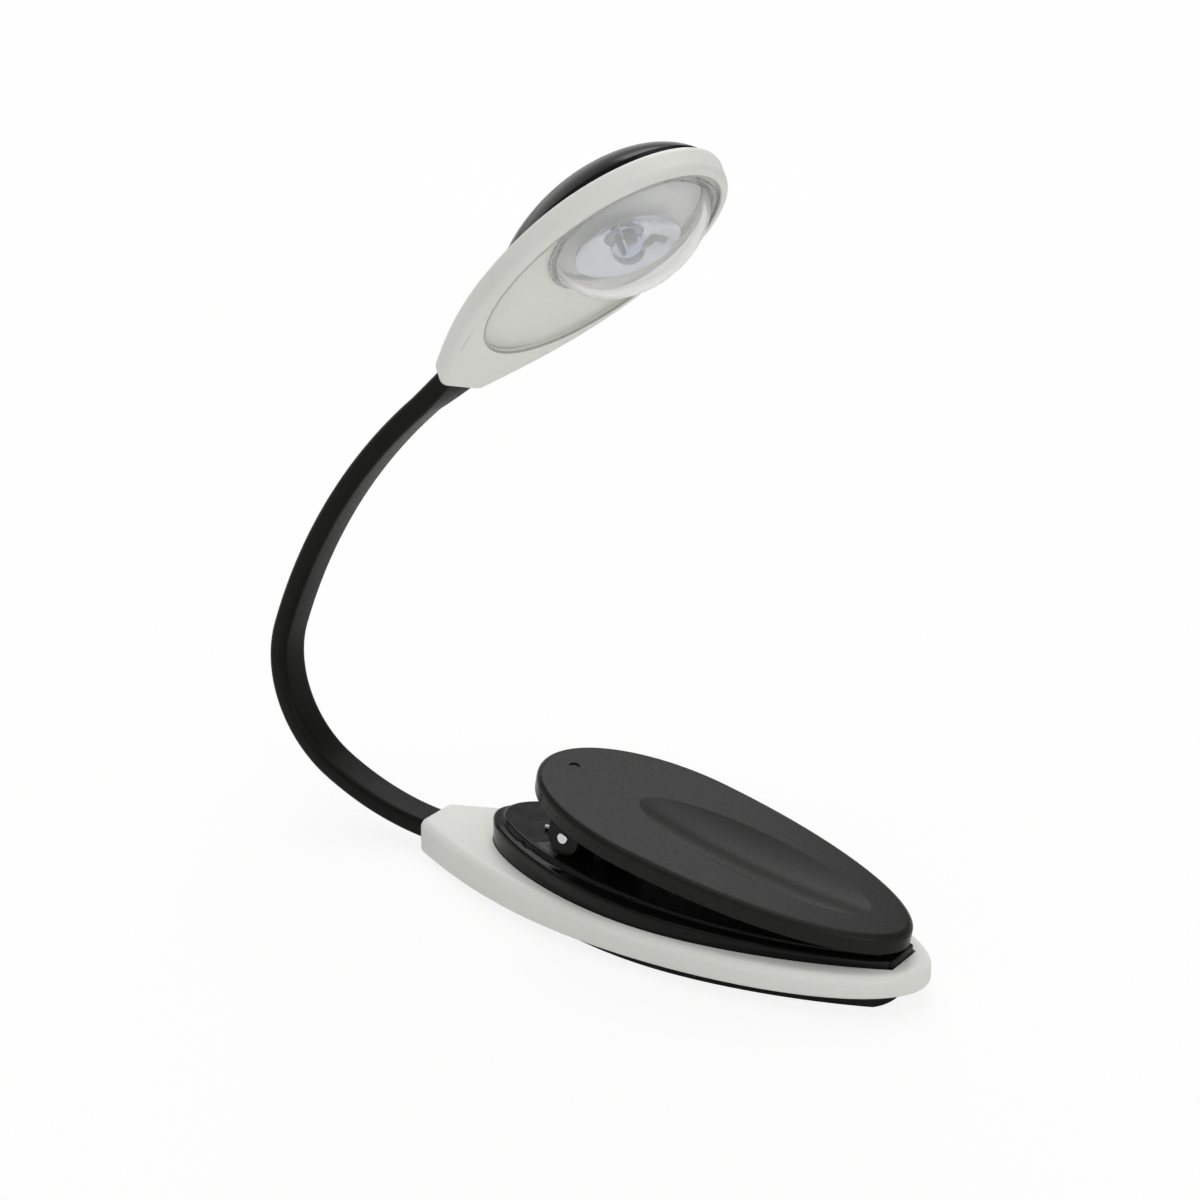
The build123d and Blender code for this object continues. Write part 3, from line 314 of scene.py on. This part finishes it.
def sleeveRun(bm, ring, low, high):
    point, heading = neckPlace(low)
    if low < 0:  # straight inside the base's collar
        made = bmesh.ops.extrude_edge_only(bm, edges=ring)["geom"]
        bmesh.ops.translate(bm, vec=neckPlace(high)[0] - point, verts=vertsOf(made))
        return edgesOf(made)
    steps = max(2, math.ceil((high - low) / neck["stepMm"]))
    length, turn = next(run for run, end in zip(neck["runs"], corners[1:]) if low < end)
    radius = length / math.radians(turn)
    middle = point + Vector((math.sin(heading), 0, -math.cos(heading))) * radius * mm
    made = bmesh.ops.spin(bm, geom=ring, cent=middle, axis=(0, 1, 0), angle=(high - low) / radius,
                          steps=steps, use_merge=False, use_duplicate=False)
    return edgesOf(made["geom_last"])


def sleeveLength(bm, start, end):
    ring = sleeveStart(bm, start)
    stops = [start] + [c for c in corners if start < c < end] + [end]
    for low, high in zip(stops, stops[1:]):
        ring = sleeveRun(bm, ring, low, high)
    return ring


def turnRing(bm, ring, centre, along, pitch, roll):
    verts = ringVerts(ring)
    bmesh.ops.rotate(bm, cent=centre, matrix=Matrix.Rotation(-pitch, 3, "Y"), verts=verts)
    bmesh.ops.rotate(bm, cent=centre, matrix=Matrix.Rotation(roll, 3, along), verts=verts)


middles = [-neck["inCollar"]] + [bend + linkPitch / 2 for bend in bends]
for n, bend in enumerate(bends):
    bm = bmesh.new()
    ring = sleeveLength(bm, middles[n], middles[n + 1])
    bmesh.ops.holes_fill(bm, edges=ring, sides=0)
    sleeve = makePiece(bm, f"sleeve_{n + 1}", "sleeveRubber")
    neckPlace(bend - neck["bendHalf"])[0]
    neckPlace(bend + neck["bendHalf"])[0]
    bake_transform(sleeve)
    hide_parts("neck_root" if n == 0 else f"neck_link_{n}")

# last length turns with the head's roll on its way to the head's collar
rollStart = neckLength - neck["rollFrom"]
bm = bmesh.new()
ring = sleeveLength(bm, middles[-1], rollStart)
endPoint, endHeading = neckPlace(neckLength)
here = neckPlace(rollStart)[0]
headPitch, headRoll = math.radians(neck["headPitch"]), math.radians(neck["headRoll"])
for n in range(neck["rollSteps"]):
    heading = endHeading + headPitch * ((n + 1) / neck["rollSteps"])
    along = Vector((math.cos(heading), 0, math.sin(heading)))
    step = along * (neck["rollFrom"] + neck["tip"] + neck["inHead"]) / neck["rollSteps"] * mm
    ring = edgesOf(bmesh.ops.extrude_edge_only(bm, edges=ring)["geom"])
    bmesh.ops.translate(bm, vec=step, verts=ringVerts(ring))
    here = here + step
    turnRing(bm, ring, here, along, headPitch / neck["rollSteps"], -headRoll / neck["rollSteps"])
bmesh.ops.holes_fill(bm, edges=ring, sides=0)
sleeve = makePiece(bm, "sleeve_9", "sleeveRubber")
neckPlace(rollStart)[0]
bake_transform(sleeve)
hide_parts(f"neck_link_{neck['links']}", "neck_tip")
print("neck sleeve:", len(bends) + 1, "lengths")

# torsion spring between base and lever: wound by one spin with a rise
spring = {"pin": (-14.0, 14.3), "radius": 2.0, "wire": 0.7, "first": -87.8644, "last": 1132.8703,
          "length": 4.2387, "leg": 7.5, "sides": 14, "stepsPerTurn": 40}
bm = bmesh.new()
pin = Vector((spring["pin"][0], 0, spring["pin"][1])) * mm
sweep = math.radians(spring["last"] - spring["first"])
rise = spring["length"] / sweep


def coilWay(angle):
    turn = math.radians(angle)
    return Vector((-spring["radius"] * math.sin(turn), rise, spring["radius"] * math.cos(turn))).normalized()


firstTurn = math.radians(spring["first"])
fromPin = Vector((spring["radius"] * math.cos(firstTurn), -spring["length"] / 2,
                  spring["radius"] * math.sin(firstTurn)))
firstLeg = coilWay(spring["first"]) * spring["leg"] * mm
lastLeg = coilWay(spring["last"]) * spring["leg"] * mm
legTurn = firstLeg.to_track_quat("Z", "Y").to_matrix().to_4x4()
bmesh.ops.create_circle(bm, cap_ends=True, segments=spring["sides"], radius=spring["wire"] / 2 * mm)
bmesh.ops.transform(bm, matrix=Matrix.Translation(pin + fromPin * mm - firstLeg) @ legTurn, verts=bm.verts)
ring = edgesOf(bmesh.ops.extrude_edge_only(bm, edges=bm.edges[:])["geom"])
bmesh.ops.translate(bm, vec=firstLeg, verts=ringVerts(ring))
steps = math.ceil(spring["stepsPerTurn"] * sweep / math.tau)
made = bmesh.ops.spin(bm, geom=ring, cent=pin, axis=(0, -1, 0), dvec=(0, spring["length"] / steps * mm, 0),
                      angle=sweep, steps=steps, use_merge=False, use_duplicate=False)
ring = edgesOf(bmesh.ops.extrude_edge_only(bm, edges=edgesOf(made["geom_last"]))["geom"])
bmesh.ops.translate(bm, vec=lastLeg, verts=ringVerts(ring))
bmesh.ops.holes_fill(bm, edges=ring, sides=0)
coil = makePiece(bm, "springCoil", "springWire")
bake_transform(coil)
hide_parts("clip_spring")
print("spring wound:", round(sweep / math.tau, 2), "turns")


# blunt front corners of the base's black mouldings, rounded off by a fan of cuts
# on a merged copy of the CAD shape
def roundNose(nodeName, nose):
    bm = bmesh.new()
    bm.from_mesh(nodes[nodeName].data)
    bmesh.ops.remove_doubles(bm, verts=bm.verts, dist=mergeDist)
    turn = math.radians(nose["sideTurn"])
    for side in (-1, 1):
        inward = nose["radius"] * (1 - math.cos(turn)) / math.sin(turn)
        middle = Vector((nose["corner"][0] - nose["radius"], side * (nose["corner"][1] - inward), 0))
        for n in range(nose["cuts"]):
            angle = turn * n / nose["cuts"]
            outward = Vector((math.cos(angle), side * math.sin(angle), 0))
            cut = bmesh.ops.bisect_plane(bm, geom=wholeMesh(bm), dist=cutDist, clear_outer=True,
                                         plane_co=(middle + outward * nose["radius"]) * mm, plane_no=outward)
            bmesh.ops.holes_fill(bm, edges=edgesOf(cut["geom_cut"]), sides=0)
    return bm


cover = {"corner": (41.6, 4.17), "sideTurn": 61.2, "radius": 7.0, "cuts": 9}
underCover = makePiece(roundNose("bottom_cover", cover), "underCover", "coverAbs", sharpAngle=30)
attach(underCover, "base")
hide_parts("bottom_cover")

housing = {"corner": (42.6, 3.5), "sideTurn": 61.2, "radius": 2.0, "cuts": 7}
upperHousing = makePiece(roundNose("top_housing", housing), "upperHousing", "glossBlackAbs",
                         sharpAngle=30)
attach(upperHousing, "base")
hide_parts("top_housing")
for piece in (underCover, upperHousing):  # flat faces keep their own normal beside the small rounds
    piece.modifiers.new("flatFaces", "WEIGHTED_NORMAL").keep_sharp = True
noseFaces = len(underCover.data.polygons) + len(upperHousing.data.polygons)
print("black mouldings of the base:", noseFaces, "faces")

# soft pad under the lever's tip: cut to the housing's slope, rounded, with shallow grip pockets
pad = {"tilt": 10, "origin": (-12.6803, 21.7845), "plate": 2.0, "along": 46.5, "halfLength": 6.0, "half": 5.0,
       "sides": 64, "blank": 8.0, "roof": (-33.1, 12.2, 42.6, 8.45), "gap": 0.3, "round": 0.45, "roundSteps": 4,
       "footFacing": 0.999, "pockets": 4, "pocketSpread": 0.9, "pocketDepth": 0.35, "pocketLeast": 2.0,
       "wall": 0.35}
tilt = math.radians(pad["tilt"])
padAlong = Vector((math.cos(tilt), 0, -math.sin(tilt)))
padUp = Vector((math.sin(tilt), 0, math.cos(tilt)))
padOrigin = Vector((pad["origin"][0], 0, pad["origin"][1])) * mm
padTop = padOrigin + (padAlong * pad["along"] - padUp * pad["plate"]) * mm
rearX, rearZ, frontX, frontZ = pad["roof"]
slope = math.atan2(rearZ - frontZ, frontX - rearX)
roofUp = Vector((math.sin(slope), 0, math.cos(slope)))
roofPoint = Vector((rearX, 0, rearZ)) * mm + roofUp * pad["gap"] * mm
bm = bmesh.new()
bmesh.ops.create_circle(bm, cap_ends=True, segments=pad["sides"], radius=1.0)
bmesh.ops.scale(bm, vec=(pad["halfLength"] * mm, pad["half"] * mm, 1), verts=bm.verts)
padTurn = Matrix((padAlong, Vector((0, 1, 0)), padUp)).transposed().to_4x4()
bmesh.ops.transform(bm, matrix=Matrix.Translation(padTop) @ padTurn, verts=bm.verts)
made = bmesh.ops.extrude_face_region(bm, geom=bm.faces[:])["geom"]
bmesh.ops.translate(bm, vec=padUp * -pad["blank"] * mm, verts=vertsOf(made))
bmesh.ops.recalc_face_normals(bm, faces=bm.faces)
cut = bmesh.ops.bisect_plane(bm, geom=wholeMesh(bm), dist=cutDist, clear_outer=True,
                             plane_co=roofPoint, plane_no=-roofUp)
rim = edgesOf(cut["geom_cut"])
bmesh.ops.holes_fill(bm, edges=rim, sides=0)
bmesh.ops.bevel(bm, geom=rim, offset=pad["round"] * mm, segments=pad["roundSteps"], profile=0.5, affect="EDGES",
                material=-1)
for n in range(1, pad["pockets"]):
    across = padTop + padAlong * pad["halfLength"] * (2 * n / pad["pockets"] - 1) * pad["pocketSpread"] * mm
    bmesh.ops.bisect_plane(bm, geom=wholeMesh(bm), dist=cutDist, plane_co=across, plane_no=padAlong)
bmesh.ops.recalc_face_normals(bm, faces=bm.faces)
foot = [f for f in bm.faces if f.normal.dot(roofUp) < -pad["footFacing"]
        and f.calc_area() > (pad["pocketLeast"] * mm) ** 2]
bmesh.ops.inset_individual(bm, faces=foot, thickness=pad["wall"] * mm, depth=-pad["pocketDepth"] * mm)
gripPad = makePiece(bm, "gripPad", "padRubber", sharpAngle=30)
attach(gripPad, "lever")
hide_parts("jaw_pad")
print("grip pad:", len(foot), "pockets")

# the head's own frame: x from its collar to its tip, z out of its back
headHeading = endHeading + headPitch
headAlong = Vector((math.cos(headHeading), 0, math.sin(headHeading)))
headUp = Matrix.Rotation(-headRoll, 3, headAlong) @ Vector((-headAlong.z, 0, headAlong.x))
headPoint = endPoint + headAlong * neck["tip"] * mm
headTurn = Matrix((headAlong, headUp.cross(headAlong), headUp)).transposed().to_4x4()
headPlace = Matrix.Translation(headPoint) @ headTurn

# thin grey strip of painted shade where the head's rim meets its sunk underside, standing for the shadow in the
# gap
seam = {"start": 11.0, "widest": 37.0, "end": 59.6, "half": 12.4, "level": -2.24, "width": 0.2,
        "tuck": 0.06, "height": 0.3, "segments": 120}
bm = bmesh.new()
for shrink in (-seam["tuck"], seam["width"]):
    loop = bmesh.ops.create_circle(bm, cap_ends=False, segments=seam["segments"], radius=1.0)["verts"]
    rear, front = [v for v in loop if v.co.x < 0], [v for v in loop if v.co.x >= 0]
    bmesh.ops.scale(bm, vec=(seam["widest"] - seam["start"] - shrink, 1, 1), verts=rear)
    bmesh.ops.scale(bm, vec=(seam["end"] - seam["widest"] - shrink, 1, 1), verts=front)
    bmesh.ops.scale(bm, vec=(1, seam["half"] - shrink, 1), verts=loop)
bmesh.ops.bridge_loops(bm, edges=bm.edges[:])
made = bmesh.ops.extrude_face_region(bm, geom=bm.faces[:])["geom"]
bmesh.ops.translate(bm, vec=(0, 0, seam["height"]), verts=vertsOf(made))
bmesh.ops.translate(bm, vec=(seam["widest"], 0, seam["level"]), verts=bm.verts)
bmesh.ops.scale(bm, vec=(mm, mm, mm), verts=bm.verts)
bmesh.ops.transform(bm, matrix=headPlace, verts=bm.verts)
paintedRimSeamShade = makePiece(bm, "paintedRimSeamShade", "paintedSeamShade", sharpAngle=30)
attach(paintedRimSeamShade, "head")

# lip that carries the flat underside of the rim up to the seam, behind the sunk part;
# each point of its rear edge is a share of the way round, then x and y
lip = {"rear": ((0.0, 9.9, 0.0), (0.6, 9.9, 7.25), (0.85, 16.5, 9.6), (1.0, 20.6, 9.65)),
       "reach": 9.62, "level": -2.205, "height": 0.9, "segments": 60}
bm = bmesh.new()
bmesh.ops.create_grid(bm, x_segments=1, y_segments=lip["segments"], size=1.0)
for v in bm.verts:
    share, side = abs(v.co.y), math.copysign(1, v.co.y)
    if v.co.x > 0:  # along the seam
        y = lip["reach"] * share
        x = seam["widest"] - (seam["widest"] - seam["start"]) * math.sqrt(1 - (y / seam["half"]) ** 2)
    else:  # along the rim
        near, far = next(pair for pair in zip(lip["rear"], lip["rear"][1:]) if share <= pair[1][0] + 1e-6)
        part = (share - near[0]) / (far[0] - near[0])
        x, y = (a + (b - a) * part for a, b in zip(near[1:], far[1:]))
    v.co = (x, side * y, lip["level"])
made = bmesh.ops.extrude_face_region(bm, geom=bm.faces[:])["geom"]
bmesh.ops.translate(bm, vec=(0, 0, lip["height"]), verts=vertsOf(made))
bmesh.ops.scale(bm, vec=(mm, mm, mm), verts=bm.verts)
bmesh.ops.transform(bm, matrix=headPlace, verts=bm.verts)
rimLip = makePiece(bm, "rimLip", "whiteAbs", sharpAngle=30)
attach(rimLip, "head")
print("head underside: seam and lip")

# bright dish round the lamp: one profile of radius and depth, spun into flat facets
dish = {"station": 42, "seat": -0.3, "facets": 22,
        "front": ((3.05, 0.5), (4.3, 0.78), (5.6, 1.27), (6.8, 1.9), (8.0, 2.7)),
        "back": ((8.0, 2.2), (5.525, 0.74), (3.05, 0.0))}
bm = bmesh.new()
outline = [bm.verts.new((r * mm, 0, -d * mm)) for r, d in dish["front"] + dish["back"]]
edges = [bm.edges.new(pair) for pair in zip(outline, outline[1:] + outline[:1])]
bmesh.ops.spin(bm, geom=outline + edges, cent=(0, 0, 0), axis=(0, 0, 1), angle=math.tau, steps=dish["facets"],
               use_merge=True, use_duplicate=False)
lampPlace = headPlace @ Matrix.Translation(Vector((dish["station"], 0, dish["seat"])) * mm)
bmesh.ops.transform(bm, matrix=lampPlace, verts=bm.verts)
facetDish = makePiece(bm, "facetDish", "brightDish", sharpAngle=4)
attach(facetDish, "head")
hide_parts("reflector")

# post and cup of the lamp's lead frame, seen through the clear epoxy
lampFrame = {"post": (0.5, 0.5, 2.6), "cup": (0.9, 1.1, 2.2), "apart": 0.75, "from": 0.3, "round": 0.12,
             "roundSteps": 2}
bm = bmesh.new()
for side, size in ((-1, lampFrame["post"]), (1, lampFrame["cup"])):
    block = bmesh.ops.create_cube(bm, size=1.0)["verts"]
    bmesh.ops.scale(bm, vec=Vector(size) * mm, verts=block)
    middle = Vector((side * lampFrame["apart"], 0, -lampFrame["from"] - size[2] / 2))
    bmesh.ops.translate(bm, vec=middle * mm, verts=block)
bmesh.ops.bevel(bm, geom=bm.edges[:], offset=lampFrame["round"] * mm, segments=lampFrame["roundSteps"],
                profile=0.5, affect="EDGES", material=-1)
bmesh.ops.transform(bm, matrix=lampPlace, verts=bm.verts)
frameLegs = makePiece(bm, "lampLeadFrame", "leadFrame", sharpAngle=30)
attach(frameLegs, "head")
print("lamp: dish of", dish["facets"], "facets")

# floor, backdrop and light
studio = {"floorSize": 12.0, "floor": "#F7F7F6", "floorRough": 0.9, "glow": 0.86, "shadowTo": 0.25,
          "whiteFrom": 1.2, "world": 0.42, "wallTo": 0.05, "ceilingFrom": 0.5, "aim": (-0.012, 0, 0.05)}
softBoxes = {"keySoftBox": {"place": (-0.45, 0.55, 0.95), "size": 0.8, "power": 5.0},
             "fillSoftBox": {"place": (0.8, -0.75, 0.6), "size": 0.9, "power": 3.0},
             "topSoftBox": {"place": (0.0, -0.1, 1.2), "size": 0.9, "power": 4.0}}
bm = bmesh.new()
bmesh.ops.create_grid(bm, x_segments=4, y_segments=4, size=studio["floorSize"])
floorMesh = bpy.data.meshes.new("studioFloor")
bm.to_mesh(floorMesh)
bm.free()
floor = bpy.data.objects.new("studioFloor", floorMesh)
bpy.context.scene.collection.objects.link(floor)
material, tree, shader = newMaterial("palePaperFloor")  # matt paper sweep
shader.inputs["Base Color"].default_value = hexColour(studio["floor"])
shader.inputs["Roughness"].default_value = studio["floorRough"]
light = addNode(tree, "ShaderNodeLightPath")
glow = addNode(tree, "ShaderNodeEmission", {"Color": (1, 1, 1, 1), "Strength": 1.0})
coords = addNode(tree, "ShaderNodeTexCoord").outputs["Object"]
away = addNode(tree, "ShaderNodeVectorMath", {"operation": "LENGTH"}, {0: coords})
# shadows near the lamp, plain white far off
level = addNode(tree, "ShaderNodeMapRange", {"From Min": studio["shadowTo"], "From Max": studio["whiteFrom"],
                "To Min": studio["glow"], "To Max": 1.0}, {"Value": away.outputs["Value"]})
seen = addNode(tree, "ShaderNodeMath", {"operation": "MULTIPLY"},
               {0: light.outputs["Is Camera Ray"], 1: level.outputs["Result"]})
both = addNode(tree, "ShaderNodeMixShader", None,
               {0: seen.outputs["Value"], 1: shader.outputs["BSDF"], 2: glow.outputs["Emission"]})
tree.links.new(both.outputs["Shader"], tree.nodes["Material Output"].inputs["Surface"])
floorMesh.materials.append(material)

world = bpy.data.worlds.new("whiteStudio")
bpy.context.scene.world = world
world.use_nodes = True
tree = world.node_tree
light = addNode(tree, "ShaderNodeLightPath")
coords = addNode(tree, "ShaderNodeTexCoord").outputs["Generated"]
sky = addNode(tree, "ShaderNodeSeparateXYZ", None, {0: coords})
# reflections see white walls and a dimmer ceiling
ceiling = addNode(tree, "ShaderNodeMapRange", {"From Min": studio["wallTo"], "From Max": studio["ceilingFrom"],
                  "To Min": 1.0, "To Max": 0.0}, {"Value": sky.outputs["Z"]})
mirrored = addNode(tree, "ShaderNodeMath", {"operation": "MULTIPLY"},
                   {0: light.outputs["Is Glossy Ray"], 1: ceiling.outputs["Result"]})
seen = addNode(tree, "ShaderNodeMath", {"operation": "MAXIMUM"},
               {0: light.outputs["Is Camera Ray"], 1: light.outputs["Is Transmission Ray"]})
seen = addNode(tree, "ShaderNodeMath", {"operation": "MAXIMUM"},
               {0: seen.outputs["Value"], 1: mirrored.outputs["Value"]})
level = addNode(tree, "ShaderNodeMapRange", {"To Min": studio["world"], "To Max": 1.0},
                {"Value": seen.outputs["Value"]})
back = tree.nodes["Background"]
back.inputs["Color"].default_value = (1, 1, 1, 1)
tree.links.new(level.outputs["Result"], back.inputs["Strength"])

for name, box in softBoxes.items():
    lamp = bpy.data.lights.new(name, "AREA")
    lamp.shape = "RECTANGLE"
    lamp.size = lamp.size_y = box["size"]
    lamp.energy = box["power"]
    lampObject = bpy.data.objects.new(name, lamp)
    lampObject.location = box["place"]
    aimed = Vector(studio["aim"]) - Vector(box["place"])
    lampObject.rotation_euler = aimed.to_track_quat("-Z", "Y").to_euler()
    bpy.context.scene.collection.objects.link(lampObject)

# camera at the photograph's angle
view = {"azimuth": 35, "elevation": 22, "distance": 0.45, "target": (-0.0128, 0, 0.0521), "lens": 87.75,
        "sensor": 36, "clip": 0.01}
camera = bpy.data.cameras.new("photoCamera")
camera.lens = view["lens"]
camera.sensor_width = view["sensor"]
camera.clip_start = view["clip"]
cameraObject = bpy.data.objects.new("photoCamera", camera)
azimuth, elevation = math.radians(view["azimuth"]), math.radians(view["elevation"])
toCamera = Vector((math.sin(azimuth) * math.cos(elevation), -math.cos(azimuth) * math.cos(elevation),
                   math.sin(elevation)))
cameraObject.location = Vector(view["target"]) + toCamera * view["distance"]
cameraObject.rotation_euler = toCamera.to_track_quat("Z", "Y").to_euler()
bpy.context.scene.collection.objects.link(cameraObject)
bpy.context.scene.camera = cameraObject
bpy.context.scene.view_settings.view_transform = "Standard"
print("studio and camera ready")
